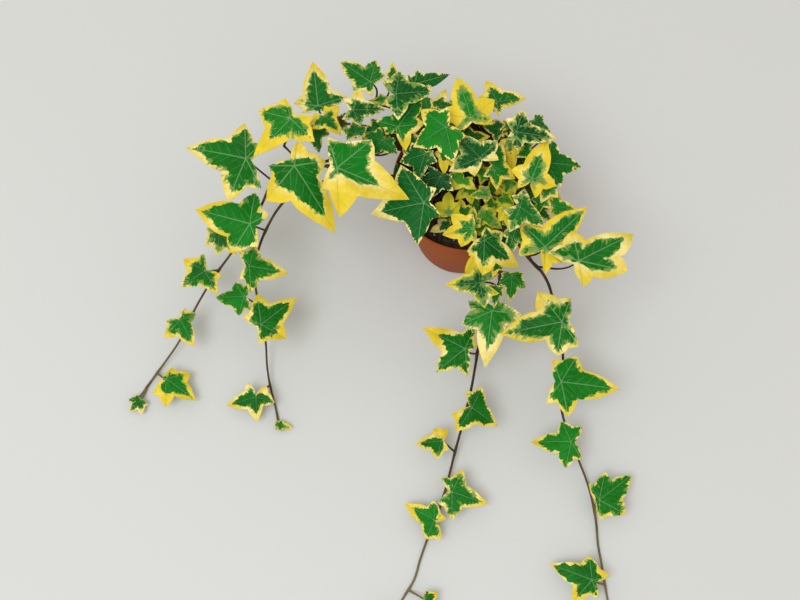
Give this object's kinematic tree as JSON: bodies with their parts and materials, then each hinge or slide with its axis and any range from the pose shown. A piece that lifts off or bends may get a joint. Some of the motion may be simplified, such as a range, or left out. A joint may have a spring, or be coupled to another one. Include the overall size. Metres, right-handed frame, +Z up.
{
  "type": "potted trailing ivy",
  "caption": "Variegated trailing ivy in a plain round pot: arching stems with lobed leaves spill over the rim and lie along the surface.",
  "frame": {"origin": "centre of the pot's base, on the surface that it stands on", "axes": "+Z up, +X to the right and -Y to the front, where two stems trail towards the viewer"},
  "size_m": [0.4175, 0.4632, 0.1699],
  "materials": {
    "pot": "matte",
    "soil": "matte",
    "leaf": "satin"
  },
  "bodies": {
    "root": {"pot": "pot", "soil": "soil", "trail_left_long": "leaf", "trail_left_short": "leaf", "trail_front": "leaf", "trail_right": "leaf", "spray_left": "leaf", "spray_left_back": "leaf", "spray_back_left": "leaf", "spray_back": "leaf", "spray_back_right": "leaf", "spray_right": "leaf", "spray_front_left": "leaf", "spray_middle": "leaf", "spray_front": "leaf", "spray_middle_front": "leaf"}
  },
  "joints": []
}
